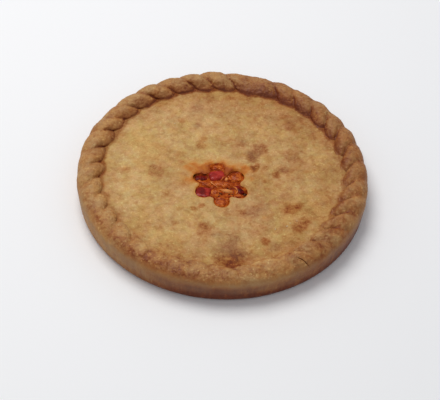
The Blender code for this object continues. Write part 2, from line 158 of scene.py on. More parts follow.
# Where the crust has split: a short curved crack over the edge, from crest outward
CRACK = (
    (60.2, -93.2), (61.8, -93.5), (63.4, -94.1), (65, -94.6),
    (66.5, -95.2), (67.8, -95.8), (69.2, -96.3), (71, -97),
)
CRACK_WIDTH = 0.56
CRACK_DEPTH = 1.5
CRACK_REACH = 2.2
# Where the filling sinks below the sauce's level: x, y, radius and depth
SAUCE_HOLLOWS = (
    (-21.8, -6.2, 5, 1.7), (-15, -6.8, 5.5, 1.1), (18, -1.5, 4, 0.7), (12.5, 2.4, 4, 0.4),
    (18.6, -22, 4.5, 1.8), (14, -24.8, 5, 0.8), (-12, -17.5, 4, 0.9), (-20, -23, 4, 1.2),
)
# Torn strands over the filling: the points that each passes, and its width
CHICKEN_SHREDS = (
    (((-21, -9), (-18, -11), (-13, -14.5), (-8, -17)), 2.4),
    (((1.5, -4.5), (0, -7), (-1.5, -10), (-2, -12.5)), 1.8),
    (((2, -12.5), (6, -14), (9, -16.5)), 2.2),
    (((-4.5, -11.5), (0.5, -13.5), (4.5, -16.5), (7, -18.5)), 1.6),
    (((-7, -20), (-4, -22.5), (-2, -26)), 2),
    (((-6, -27), (-4, -30), (-3.5, -34)), 2.2),
    (((3.5, -25.5), (4.8, -29), (3.8, -33)), 1.8),
    (((3.5, -2.5), (6, -5.5), (8.5, -10)), 2.2),
    (((-8, 4.5), (-4, 6.2), (0.5, 4.2)), 1.8),
    (((10, -24.5), (13, -25.6), (17, -25.2)), 1.8),
    (((7.5, -19), (9.5, -21), (9, -24.5)), 1.6),
)
ONION_SHREDS = (
    (((-9.5, -9.5), (-8.5, -12.5), (-5, -15.5), (-2, -18.5)), 1.2),
    (((9, -14.8), (11.5, -17), (12.6, -20), (11, -23)), 1.5),
    (((-4, -19.2), (1, -19.6), (5.5, -20.3), (9.5, -22.4)), 1.4),
)
# Dark flecks: x, y, length, width and turn. The first is a larger dark lump at the tip of the right petal;
# the rest are cooked herb.
HERBS = (
    (18.2, -21.8, 3.8, 3, 40), (-0.9, -23.6, 2.6, 1.2, -30), (6.4, -23.6, 2.2, 1.1, 10),
    (8.6, -23.9, 1.6, 1, -20), (-2.2, -26.4, 1.3, 0.8, 60), (4.6, -17.4, 1.8, 0.9, -10),
)
# Wet finishes: dark, middle and light colours, the width of a blotch in millimetres,
# roughness, specular level, coat weight and the strength of the relief
WET_FINISHES = {
    "thick_sauce": (((106, 28, 2), (152, 58, 6), (186, 90, 18)), 5, 0.5, 0.05, 0.06, 0.35),
    "red_pepper": (((122, 16, 10), (156, 32, 22), (182, 52, 40)), 9, 0.4, 0.06, 0.3, 0.12),
    "dark_red_pepper": (((96, 8, 4), (132, 20, 10), (176, 50, 38)), 9, 0.4, 0.06, 0.2, 0.12),
    # A darker copy of the pepper's colours for the pieces in the vent's left tip and right petal: painted
    # shade
    "shaded_red_pepper": (((70, 8, 4), (112, 18, 10), (140, 36, 24)), 6, 0.4, 0.04, 0.12, 0.12),
    "sauced_chicken": (((128, 42, 6), (172, 74, 14), (208, 114, 40)), 4, 0.45, 0.06, 0.16, 0.35),
    "cooked_onion": (((178, 88, 26), (204, 118, 50), (220, 146, 82)), 6, 0.45, 0.08, 0.12, 0.35),
    "cooked_herb": (((44, 18, 8), (74, 34, 14), (104, 56, 24)), 1.5, 0.5, 0.1, 0, 0.35),
}
# Cooked pieces by the start of their nodes' names, the first that fits: finish, slot,
# growth, roughening, the size of its lumps, depth of its fibres, and flatness
COOKED_PIECES = (
    # The pepper pieces in the left tip and the right petal take the darker copy, as painted shade
    (("red_pepper_tip", "red_pepper_right"), "shaded_red_pepper", "pepper", 1.2, 0.25, 6, 0, 0.5),
    ("red_pepper_left", "dark_red_pepper", "pepper", 1.15, 0.22, 6, 0, 0.5),
    ("red_pepper", "red_pepper", "pepper", 1.15, 0.22, 6, 0, 0.5),
    ("chicken_round", "sauced_chicken", "chicken", 1.02, 0.28, 4, 0.05, 0),
    ("chicken", "sauced_chicken", "chicken", 1.18, 0.5, 3, 0.24, 0),
    ("onion", "cooked_onion", "onion", 1.1, 0.2, 3, 0.1, 0),
)


def srgb(*channels):
    """A colour as the photo's eight-bit values, turned into linear light."""
    shares = [channel / 255 for channel in channels]
    linear = [share / 12.92 if share <= 0.04045 else ((share + 0.055) / 1.055) ** 2.4 for share in shares]
    return (*linear, 1)


def clamp(values):
    return np.clip(values, 0, 1)


def ease(value, low, high):
    """Nought up to low, one from high, and smooth between them."""
    share = clamp((value - low) / (high - low))
    return share * share * (3 - 2 * share)


def fade(value, low, high):
    """One up to low, and nought from high."""
    return 1 - ease(value, low, high)


def between(values, low, high):
    return (values > low) & (values < high)


def bell(value, middle, width):
    return np.exp(-((value - middle) / width) ** 2)


def hump(angle, middle, width):
    """One at the middle angle, nought further from it than the width, in degrees."""
    away = np.abs((angle - middle + 180) % 360 - 180)
    return np.where(away < width, 0.5 + 0.5 * np.cos(np.pi * np.minimum(away, width) / width), 0)


def around(angle, humps):
    """The sum of several humps around the pie."""
    return sum(amount * hump(angle, middle, width) for middle, width, amount in humps)


def nearness(points, x, y, size):
    """One at a place seen from above, nought at its radius, and less beyond."""
    return 1 - np.hypot(points[:, 0] - x, points[:, 1] - y) / size


def round_and_angle(points, centre=(0, 0)):
    """Each point's distance from a centre in millimetres, and its direction in degrees."""
    across, along = points[:, 0] - centre[0], points[:, 1] - centre[1]
    return np.hypot(across, along), np.degrees(np.arctan2(along, across)) % 360


def read_around(angle, values):
    """Evenly spaced values around a centre, read at each angle."""
    middles = (np.arange(len(values)) + 0.5) * 360 / len(values)
    return np.interp(angle, middles, values, period=360)


def new_object(name, data):
    made = bpy.data.objects.new(name, data)
    bpy.context.scene.collection.objects.link(made)
    return made


def pick_none():
    bpy.ops.object.select_all(action="DESELECT")


def pick_only(piece):
    if bpy.context.object and bpy.context.object.mode != "OBJECT":
        bpy.ops.object.mode_set(mode="OBJECT")
    pick_none()
    piece.select_set(True)
    bpy.context.view_layer.objects.active = piece


def edit(piece, action="SELECT"):
    """Edit mode, with everything selected or, for DESELECT, nothing."""
    pick_only(piece)
    bpy.ops.object.mode_set(mode="EDIT")
    bpy.ops.mesh.select_all(action=action)


def end_edit():
    bpy.ops.object.mode_set(mode="OBJECT")


def edit_faces(piece, choose):
    """Edit mode, with the faces selected for which choose, given them all, says yes."""
    edit(piece, "DESELECT")
    shape = bmesh.from_edit_mesh(piece.data)
    for face, chosen in zip(shape.faces, choose(shape.faces)):
        face.select = bool(chosen)
    bmesh.update_edit_mesh(piece.data)


def apply_all(piece):
    pick_only(piece)
    for modifier in list(piece.modifiers):
        bpy.ops.object.modifier_apply(modifier=modifier.name)


def subdivide_smoothly(piece, levels):
    modifier = piece.modifiers.new("Smooth form", "SUBSURF")
    modifier.levels = levels
    modifier.render_levels = levels
    apply_all(piece)


def settle(piece):
    """Puts a piece's place into its mesh, with its own object at the origin."""
    pick_only(piece)
    bpy.ops.object.transform_apply(location=True, rotation=True, scale=True)


def carried_copy(node, name):
    """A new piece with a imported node's shape, its loose triangles merged and paired."""
    piece = new_object(name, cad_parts[node].data.copy())
    piece.data.materials.clear()
    edit(piece)
    bpy.ops.mesh.remove_doubles(threshold=0.02 * MM)
    bpy.ops.mesh.tris_convert_to_quads(face_threshold=math.radians(50), shape_threshold=math.radians(60))
    bpy.ops.mesh.normals_make_consistent(inside=False)
    end_edit()
    return piece


def read_rows(items, name, width=3):
    """One property of all the items of a mesh, a row of numbers for each."""
    flat = np.empty(len(items) * width, dtype=np.float32)
    items.foreach_get(name, flat)
    return flat.reshape(-1, width).astype(float)


def places(piece):
    """The piece's points, in millimetres, one row each."""
    return read_rows(piece.data.vertices, "co") / MM


def set_places(piece, points):
    piece.data.vertices.foreach_set("co", (points * MM).astype(np.float32).ravel())
    piece.data.update()


def outward(piece):
    return read_rows(piece.data.vertex_normals, "vector")


def cloudy(points, size, seed, octaves=3):
    """Soft noise between about minus one and one, with lumps of a size in millimetres."""
    shift = Vector((seed * 7.31, seed * 3.17, seed * 5.71))
    return np.array([noise.fractal(Vector(point) / size + shift, 1, 2, octaves) for point in points])


def ridged(points, size, seed):
    """Sharp-edged noise, from nought up to about one."""
    shift = Vector((seed * 2.39, seed * 8.11, seed * 4.73))
    values = [1 - abs(noise.noise(Vector(point) / size + shift)) * 2.2 for point in points]
    return clamp(np.array(values))


def add_measures(piece, **measures):
    """Values at the piece's points, which its material reads by name."""
    for name, values in measures.items():
        attribute = piece.data.attributes.new(name, "FLOAT", "POINT")
        attribute.data.foreach_set("value", np.asarray(values, dtype=np.float32))


def read_measure(piece, name):
    return read_rows(piece.data.attributes[name].data, "value", 1)[:, 0]


def softened(piece, points, rounds):
    """The points after each has moved to its neighbours' middle, over and over."""
    ends = np.empty(len(piece.data.edges) * 2, dtype=np.int32)
    piece.data.edges.foreach_get("vertices", ends)
    first, second = ends.reshape(-1, 2).T
    starts = np.r_[first, second]
    others = np.r_[second, first]
    count = np.maximum(np.bincount(starts, minlength=len(points)), 1)
    soft = points.copy()
    for _ in range(rounds):
        for axis in range(3):
            total = np.bincount(starts, weights=soft[others, axis], minlength=len(points))
            soft[:, axis] = total / count
    return soft


def hollowness(piece, rounds):
    """How far each point lies below its neighbourhood, in millimetres."""
    points = places(piece)
    return np.einsum("ij,ij->i", softened(piece, points, rounds) - points, outward(piece))


def toasted_spots(points):
    """Toasting, greyness, redness and blister height from the spots, and their raggedness."""
    toast, grey, red, blister = np.zeros((4, len(points)))
    flat = points * (1, 1, 0)
    ragged = 0.24 * cloudy(flat, 6, 11) + 0.2 * cloudy(flat, 2.6, 12, 2)
    for x, y, size, strength, greyness in SPOTS:
        near = nearness(points, x, y, size)
        spot = ease(near + ragged, -0.3, 0.7)
        toast += 1.15 * strength * spot
        grey += greyness * spot
        red += 3 * max(strength, 0) * (1 - greyness) * spot
        blister += max(strength, 0) * ease(near, -0.1, 0.9)
    return toast, clamp(grey), clamp(red), blister, ragged


# Node groups and materials


def feed(tree, socket, value):
    """Sets a socket to a number or colour, or links another node's output to it."""
    if isinstance(value, (int, float, tuple)):
        socket.default_value = value
    else:
        tree.links.new(value, socket)


def set_up(tree, made, values):
    """Each value feeds an input socket of the node, or else is set on the node itself."""
    for key, value in values.items():
        socket = key.replace("_", " ")
        if socket in made.inputs:
            feed(tree, made.inputs[socket], value)
        else:
            setattr(made, key, value)
    return made


def add_node(tree, kind, **values):
    return set_up(tree, tree.nodes.new(kind), values)


def object_noise(tree, size, detail, roughness, distortion=0, stretch=(1, 1, 1), shift=0):
    """Noise on the object's own coordinates; size is a lump's width in metres."""
    place = add_node(tree, "ShaderNodeTexCoord").outputs["Object"]
    moved = (shift, -shift, 2 * shift)
    place = add_node(tree, "ShaderNodeMapping", Vector=place, Scale=stretch, Location=moved).outputs["Vector"]
    given = {"Detail": detail, "Roughness": roughness, "Distortion": distortion}
    return add_node(tree, "ShaderNodeTexNoise", Vector=place, Scale=1 / size, **given).outputs["Fac"]


def maths(tree, operation, first, second=0, limit=False):
    made = add_node(tree, "ShaderNodeMath", operation=operation, use_clamp=limit)
    feed(tree, made.inputs[0], first)
    feed(tree, made.inputs[1], second)
    return made.outputs[0]


def times(tree, first, second):
    return maths(tree, "MULTIPLY", first, second)


def weighed(tree, *parts):
    """The sum of values, each times its own weight."""
    total = times(tree, *parts[0])
    for value, weight in parts[1:]:
        total = maths(tree, "ADD", total, times(tree, value, weight))
    return total


def above(tree, value, level=0.5):
    return maths(tree, "SUBTRACT", value, level)


def spread(tree, value, low, high, to_low=0, to_high=1):
    """A value's range turned smoothly into another one."""
    given = {"From_Min": low, "From_Max": high, "To_Min": to_low, "To_Max": to_high}
    made = add_node(tree, "ShaderNodeMapRange", interpolation_type="SMOOTHSTEP", Value=value, **given)
    return made.outputs["Result"]


def mix_colours(tree, share, first, second, blend="MIX"):
    made = add_node(tree, "ShaderNodeMix", data_type="RGBA", blend_type=blend)
    for number, value in ((0, share), (6, first), (7, second)):
        feed(tree, made.inputs[number], value)
    return made.outputs[2]


def measure(tree, name):
    return add_node(tree, "ShaderNodeAttribute", attribute_name=name).outputs["Fac"]


def ramp(tree, share, *stops):
    """Colours by eight-bit values, each at its position, mixed by the share."""
    made = add_node(tree, "ShaderNodeValToRGB", Fac=share)
    elements = made.color_ramp.elements
    while len(elements) < len(stops):
        elements.new(0.5)
    for element, (position, colour) in zip(elements, stops):
        element.position = position
        element.color = srgb(*colour)
    return made.outputs["Color"]


def new_group(name, amounts, outputs, kind="NodeSocketFloat"):
    """An empty node group that takes named amounts, each with its usual value."""
    tree = bpy.data.node_groups.new(name, "ShaderNodeTree")
    for label, usual in amounts:
        socket = tree.interface.new_socket(label, in_out="INPUT", socket_type="NodeSocketFloat")
        socket.default_value = usual
    for label in outputs:
        tree.interface.new_socket(label, in_out="OUTPUT", socket_type=kind)
    return tree, tree.nodes.new("NodeGroupInput").outputs, tree.nodes.new("NodeGroupOutput").inputs


def use_group(tree, group, **values):
    return add_node(tree, "ShaderNodeGroup", node_tree=group, **values).outputs


def make_pastry_grain():
    """Patches, freckles, pale flecks and shifts of hue, as a baked flaky dough has them."""
    outputs = ("Mottle", "Patch", "Freckle", "Fleck", "Warmth", "Gold", "Height")
    tree, given, out = new_group("pastry_grain", (("Coarseness", 1),), outputs)
    broad, middle, small, fine, specks, line, blush, glow, narrow, wide = (
        object_noise(tree, size * MM, *kind, shift=shift) for size, *kind, shift in GRAIN_NOISES
    )
    hue = weighed(tree, (blush, 0.6), (glow, 0.4))
    gold = weighed(tree, (narrow, 0.4), (wide, 0.6))
    freckle = weighed(tree, (small, 0.65), (fine, 0.35))
    away = maths(tree, "ABSOLUTE", above(tree, line))
    crinkle = times(tree, spread(tree, away, 0, 0.08, 0.45, 0), spread(tree, small, 0.42, 0.58))
    fleck = maths(tree, "MAXIMUM", spread(tree, specks, 0.57, 0.72), crinkle)
    raised = maths(tree, "ADD", freckle, times(tree, fleck, 0.25))
    made = {
        "Mottle": broad,
        "Patch": spread(tree, middle, 0.44, 0.66),
        "Freckle": freckle,
        "Fleck": fleck,
        "Warmth": spread(tree, hue, 0.39, 0.61),
        "Gold": spread(tree, gold, 0.38, 0.62),
        "Height": times(tree, raised, given["Coarseness"]),
    }
    for name, value in made.items():
        feed(tree, out[name], value)
    return tree


def make_baked_colour():
    """Turns a toasting amount, from pale to dark, into the colours of baked pastry."""
    amounts = (("Toast", 0.3), ("Grey", 0), ("Warmth", 0.5), ("Gold", 0.5), ("Blush", 0))
    tree, given, out = new_group("baked_colour", amounts, ("Colour",), "NodeSocketColor")
    stops = (
        (0, (217, 187, 130)), (0.18, (203, 165, 110)), (0.36, (186, 142, 90)), (0.54, (169, 118, 69)),
        (0.7, (152, 95, 48)), (0.85, (130, 68, 27)), (1, (106, 46, 14)),
    )
    baked = ramp(tree, given["Toast"], *stops)
    colour = mix_colours(tree, times(tree, given["Grey"], 0.3), baked, srgb(150, 116, 86))
    tints = (
        ("Warmth", (0.93, 0.97, 0.955, 1), (1.01, 0.942, 0.935, 1)),
        ("Gold", (1, 0.995, 1.05, 1), (1, 1, 0.84, 1)),
        ("Blush", (1, 1, 1, 1), (1.03, 0.92, 0.79, 1)),
    )
    for name, low, high in tints:
        tint = mix_colours(tree, given[name], low, high)
        colour = mix_colours(tree, 1, colour, tint, "MULTIPLY")
    feed(tree, out["Colour"], colour)
    return tree


def new_material(name):
    material = bpy.data.materials.new(name)
    material.use_nodes = True
    return material, material.node_tree


def set_shader(tree, **values):
    """Feeds the sockets of a material's own shader."""
    set_up(tree, tree.nodes["Principled BSDF"], values)


def bump(tree, height, strength, depth):
    made = add_node(tree, "ShaderNodeBump", Strength=strength, Distance=depth, Height=height)
    return made.outputs["Normal"]


def textured_toast(tree, texture, mottle, patch, freckle, fleck):
    """The piece's own toasting with the grain's patches, freckles and pale flecks."""
    freckled = above(tree, texture["Freckle"])
    mottled = above(tree, texture["Mottle"])
    patched = above(tree, texture["Patch"], 0.3)
    change = weighed(tree, (mottled, mottle), (patched, patch), (freckled, freckle))
    change = maths(tree, "SUBTRACT", change, times(tree, texture["Fleck"], fleck))
    speckled = maths(tree, "ADD", times(tree, freckled, 1.8), 0.9)
    change = weighed(tree, (change, measure(tree, "mottle")), (measure(tree, "spot"), speckled))
    return maths(tree, "ADD", measure(tree, "toast"), change, limit=True)


def pastry_colour(tree, baked, toast, texture, gold):
    """The baked colour of a piece; gold names the part of the grain that makes it golden."""
    hue = {"Warmth": texture["Warmth"], "Gold": texture[gold]}
    given = {"Grey": measure(tree, "dust"), "Blush": measure(tree, "blush")}
    return use_group(tree, baked, Toast=toast, **hue, **given)["Colour"]


def make_crust_material(grain, baked):
    material, tree = new_material("baked_crust")
    texture = use_group(tree, grain, Coarseness=1)
    toast = textured_toast(tree, texture, mottle=0.28, patch=0.15, freckle=0.62, fleck=0.24)
    streaks = object_noise(tree, 3 * MM, 3, 0.6, stretch=(1, 1, 0.12))
    streaks = times(tree, times(tree, above(tree, streaks), 0.6), measure(tree, "wall"))
    toast = maths(tree, "ADD", toast, streaks, limit=True)
    colour = pastry_colour(tree, baked, toast, texture, "Warmth")
    set_shader(tree, Base_Color=colour, Roughness=spread(tree, toast, 0.2, 0.9, 0.66, 0.5))
    set_shader(tree, Specular_IOR_Level=0.3, Normal=bump(tree, texture["Height"], 0.7, 0.5 * MM))
    return material


def make_lid_material(grain, baked):
    material, tree = new_material("baked_lid")
    texture = use_group(tree, grain, Coarseness=0.8)
    toast = textured_toast(tree, texture, mottle=0.44, patch=0.14, freckle=0.66, fleck=0.18)
    colour = pastry_colour(tree, baked, toast, texture, "Gold")
    patchy = maths(tree, "ADD", times(tree, above(tree, texture["Freckle"]), 0.5), 1)
    wet = maths(tree, "MULTIPLY", measure(tree, "stain"), patchy, limit=True)
    stained = ramp(tree, wet, (0, (208, 156, 76)), (0.45, (196, 118, 40)), (1, (154, 70, 18)))
    colour = mix_colours(tree, spread(tree, wet, 0, 0.7), colour, stained)
    set_shader(tree, Base_Color=colour, Roughness=spread(tree, wet, 0.1, 0.9, 0.62, 0.48))
    set_shader(tree, Specular_IOR_Level=0.14, Normal=bump(tree, texture["Height"], 0.6, 0.4 * MM))
    return material


def make_flake_and_glint_material():
    """Paper-thin flakes: pale, dry and a little shiny; their paleness is partly a painted highlight."""
    material, tree = new_material("pale_flake_and_glint")
    shade = object_noise(tree, 1 * MM, 2, 0.5)
    colour = ramp(tree, shade, (0.3, (198, 166, 118)), (0.7, (214, 190, 148)))
    set_shader(tree, Base_Color=colour, Roughness=0.35, Normal=bump(tree, shade, 0.5, 0.1 * MM))
    return material


def make_wet_material(name, colours, size, roughness, specular, coat, relief):
    """A cooked piece coated in sauce: its colours run into each other."""
    material, tree = new_material(name)
    blotches = object_noise(tree, size * MM, 4, 0.6, 0.3)
    fibres = object_noise(tree, size * MM * 0.25, 3, 0.6)
    share = spread(tree, weighed(tree, (blotches, 0.75), (fibres, 0.25)), 0.34, 0.66)
    set_shader(tree, Base_Color=ramp(tree, share, *zip((0, 0.5, 1), colours)), Roughness=roughness)
    set_shader(tree, Specular_IOR_Level=specular, Coat_Weight=coat, Coat_Roughness=0.2)
    set_shader(tree, Normal=bump(tree, fibres, relief, 0.25 * MM))
    return material


def make_floor_material():
    material, tree = new_material("pale_floor")
    shade = object_noise(tree, 0.6, 2, 0.5)
    colour = mix_colours(tree, shade, (0.93, 0.94, 0.97, 1), (0.95, 0.96, 0.98, 1))
    set_shader(tree, Base_Color=colour, Roughness=0.6)
    return material


# The pieces


def finish_piece(piece, material, slot, *nodes):
    piece.data.materials.clear()
    piece.data.materials.append(material)
    pick_only(piece)
    bpy.ops.object.shade_smooth()
    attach(piece, "root")
    if nodes:
        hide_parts(*nodes)


def distance_to_crack(points):
    """Distance to the crack's line seen from above, and how far along it, from nought to one."""
    line = np.array(CRACK)
    best = np.full(len(points), FAR_AWAY)
    along = np.zeros(len(points))
    for number, (start, end) in enumerate(zip(line, line[1:])):
        span = end - start
        share = clamp((points[:, :2] - start) @ span / (span @ span))
        away = np.hypot(*(points[:, :2] - start - share[:, None] * span).T)
        along = np.where(away < best, (number + share) / (len(line) - 1), along)
        best = np.minimum(best, away)
    return np.where(points[:, 2] > 20, best, FAR_AWAY), along


def refine_crack(piece):
    """Finer faces along the crack, so that its edges can be sharp."""

    def beside_crack(faces):
        centres = np.array([face.calc_center_median() for face in faces]) / MM
        return distance_to_crack(centres)[0] < CRACK_REACH

    edit_faces(piece, beside_crack)
    bpy.ops.mesh.subdivide(number_cuts=3, smoothness=0)
    end_edit()


def deepen_rope(piece):
    """Rounder strands and deeper creases, and a foot that meets the lid."""
    points = places(piece)
    height = points[:, 2]
    radius, angle = round_and_angle(points)
    rope = ease(height, 19.5, 22.5) * ease(radius, *ROPE_START)
    wide = np.clip(hollowness(piece, 45), -2, 2)
    near = clamp(hollowness(piece, 8))
    add_measures(piece, hollow=wide, crease=near)
    strength = rope.copy()
    for middle, width, amount in ROPE_CALM:
        strength *= 1 - amount * hump(angle, middle, width)
    strength *= (1 + 0.7 * hump(angle, 340, 55)) * (0.25 + 0.75 * fade(radius, 104.5, 112))
    push = 0.4 * cloudy(points, 14, 1) * rope - (0.48 * wide + 0.7 * near) * strength
    push += 0.5 * fade(height, 3, 8) * ease(radius, 115, 117)
    push = np.where(height < UNDERSIDE, 0, push)
    moved = points + outward(piece) * push[:, None]
    lean = around(angle, ROPE_OVERHANG) * fade(height, 21.8, 26) * ease(height, 19.6, 21)
    lean *= fade(radius, 103, 107) * ease(radius, 90, 94)
    moved[:, :2] *= (1 - lean / radius.clip(1))[:, None]
    foot = fade(height, 22, 23.4) * ease(height, 20.8, 21.6)
    moved[:, 2] -= 0.9 * foot * fade(radius, 105, 107) * ease(radius, 92, 94)
    set_places(piece, moved)


def refine_rope(piece):
    """Fewer faces where the lid hides the case, and finer ones on the rope."""

    def hidden(face):
        middle = face.calc_center_median() / MM
        radius = math.hypot(middle.x, middle.y)
        return middle.z < 0.2 or (radius < 106 and middle.z < 20) or (radius < 96 and middle.z < 20.8)

    def on_rope(face):
        middle = face.calc_center_median() / MM
        outer = 112.5 if middle.y > 15 else 117
        return 94 < math.hypot(middle.x, middle.y) < outer and middle.z > 20.8 and face.normal.z > -0.2

    edit_faces(piece, lambda faces: map(hidden, faces))
    bpy.ops.mesh.decimate(ratio=0.2)
    end_edit()
    edit_faces(piece, lambda faces: map(on_rope, faces))
    bpy.ops.mesh.subdivide(number_cuts=1, smoothness=0)
    end_edit()


def roughen_crust(piece, points, rope, raised, outside, front):
    """Crags, grains and the crack; returns the grains, and the crack for its painted shade."""
    crags = ridged(points, 4.5, 3) * ridged(points, 2.8, 4)
    grains = cloudy(points, 2.4, 5, 3)
    push = 0.22 * cloudy(points, 5, 2) * rope + (0.34 * (crags - 0.35) + 0.16 * grains) * raised
    push += 0.3 * cloudy(points, 3.4, 9) * raised * front
    push += 0.1 * cloudy(points, 9, 6) * outside * (1 - rope)
    push = np.where(points[:, 2] < UNDERSIDE, 0, push)
    away, along = distance_to_crack(points)
    ends = np.minimum(along, 1 - along)
    width = CRACK_WIDTH * clamp(ends * 5)
    crack = fade(away, 0.25 * width, 0.6 * width + 0.01)
    lip = bell(away, 1.2, 0.5) * clamp(ends * 6)
    push += 0.25 * lip - CRACK_DEPTH * crack
    set_places(piece, points + outward(piece) * push[:, None])
    return grains, crack


def make_crust(material):
    """The case: rope edge with creases, a crusty front, and a smooth wall."""
    piece = carried_copy("pastry_case", "crust")
    subdivide_smoothly(piece, 2)
    deepen_rope(piece)
    refine_rope(piece)
    refine_crack(piece)

    # Where each part lies
    points = places(piece)
    radius, angle = round_and_angle(points)
    height = points[:, 2]
    front = hump(angle, *FRONT)
    right = hump(angle, *RIGHT)
    back = hump(angle, *BACK)
    rope = ease(height, 13, 20) * ease(radius, *ROPE_START)
    raised = rope * ease(height, 21.6, 23.2)
    outside = ease(radius, 92, 97)
    grains, crack = roughen_crust(piece, points, rope, raised, outside, front)
    facing_in = -(outward(piece)[:, :2] * points[:, :2] / np.maximum(radius, 1)[:, None]).sum(axis=1)
    inner = ease(facing_in, -0.05, 0.75) * rope
    foot = fade(height, 22, 24.6) * rope * fade(radius, 102, 106)
    wall = fade(height, 14, 20) * outside
    edge = bell(radius, 115, 3) * ease(height, 19.5, 22) * hump(angle, 235, 55)
    edge *= 1 + 0.9 * cloudy(points, 5, 10)
    hollow = read_measure(piece, "hollow")
    valley = np.clip(hollow, 0, 2)

    # The rope
    toast = 0.52 + around(angle, ROPE_TOAST)
    high = ease(height, 24.8, 26.4)
    # Darker inner faces, most at the back: partly browning and partly painted shade
    toast += inner * (0.02 + 0.29 * back * (1 - 0.5 * high) + around(angle, ROPE_INSIDE_TOAST_AND_SHADE))
    # Painted shade, with some browning: darker in the hollows and creases between the strands
    toast += (0.16 + 0.34 * right + 0.08 * back) * valley * rope * (0.3 + 0.7 * inner)
    crease = read_measure(piece, "crease")
    toast += 0.3 * crease * rope * (1 - 0.8 * front) * (0.35 + 0.65 * inner)
    # A darker foot, most at the back: partly browning and partly painted shade where the rope meets the lid
    toast += foot * (0.04 + around(angle, ROPE_FOOT_TOAST_AND_SHADE))
    # Partly painted light: paler on the strands' bulges
    toast -= 0.08 * clamp(-hollow) * rope
    toast -= 0.1 * np.clip(grains, -1, 1) * raised
    toast += 0.08 * bell(height, 22, 2.2) * ease(radius, 110, 116) * front
    toast += 0.2 * edge
    marks = np.zeros(len(points))
    patchy = 0.5 * cloudy(points, 4, 19)
    for x, y, size, strength in ROPE_SPOTS:
        marks += strength * ease(nearness(points, x, y, size) + patchy, -0.2, 0.7)
    toast += marks * ease(height, 17, 21)

    # The wall, darker at the front and towards the bottom, partly browning and partly painted shade, and what
    # goes all over
    front_brown_and_shade = hump(angle, 286, 100)
    toast += wall * (0.2 * front_brown_and_shade - 0.08 + around(angle, WALL_TOAST_AND_SHADE))
    toast -= 0.16 * fade(height, 1, 9) * hump(angle, 256, 24) * outside
    # Darker towards the bottom: partly browning and partly painted contact shade
    toast += (0.08 + 0.18 * front_brown_and_shade) * fade(height, 0.5, 11) * outside
    # Uneven browning, and painted shade darkening the crack
    toast += 0.07 * cloudy(points, 12, 7) + 0.5 * crack

    low = fade(height, 22.5, 25) * rope
    spots, _, red = toasted_spots(points)[:3]
    blush = red * low + 0.25 * edge + clamp(marks)
    blush += inner * (0.3 + 0.3 * hump(angle, 165, 50))
    dust = ease(height, 6, 13) * fade(height, 18, 22) * outside
    dust *= 0.9 + 0.6 * cloudy(points, 14, 8)
    mottle = 0.45 * outside + 0.6 * raised * (0.75 + 0.6 * front)
    add_measures(piece, toast=clamp(toast), spot=spots * low, dust=clamp(dust), blush=clamp(blush))
    add_measures(piece, mottle=mottle, wall=wall)
    finish_piece(piece, material, "crust", "pastry_case")
    return piece


def rope_reach(crust):
    """The radius of the rope's inner foot, in even steps all round."""
    points = places(crust)
    radius, angle = round_and_angle(points)
    band = between(points[:, 2], 21.2, 23.4) & between(radius, 90, 105)
    steps = (angle / (360 / ROPE_STEPS)).astype(int)
    reach = np.full(ROPE_STEPS, ROPE_FOOT)
    for number in np.unique(steps[band]):
        reach[number] = radius[band & (steps == number)].min()
    return reach


def distance_to_vent(points):
    """Each point's distance to the vent's wall, in millimetres, seen from above."""
    away = round_and_angle(points, VENT_CENTRE)[0]
    inside = (away < VENT_REACH) & between(points[:, 2], LID_TOP - 1.6, LID_TOP - 0.8)
    wall = np.nonzero(inside)[0]
    tree = KDTree(len(wall))
    for index in wall:
        tree.insert((points[index][0], points[index][1], 0), int(index))
    tree.balance()
    return np.array([tree.find((point[0], point[1], 0))[2] for point in points])


def sharpen_vent_lip(piece):
    """Keeps the vent's cut edge crisp when the lid is smoothed."""
    edit(piece, "DESELECT")
    bpy.ops.mesh.select_mode(type="EDGE")
    shape = bmesh.from_edit_mesh(piece.data)
    for edge in shape.edges:
        ends = np.array([vertex.co for vertex in edge.verts]) / MM
        level = np.ptp(ends[:, 2]) < 0.3 and ends[:, 2].min() > LID_TOP - 0.8
        near = (round_and_angle(ends, VENT_CENTRE)[0] < VENT_REACH).all()
        walls = sum(abs(face.normal.z) < 0.5 for face in edge.link_faces)
        edge.select = bool(level and near and walls == 1)
    bmesh.update_edit_mesh(piece.data)
    bpy.ops.transform.edge_crease(value=0.6)
    bpy.ops.mesh.select_mode(type="VERT")
    end_edit()


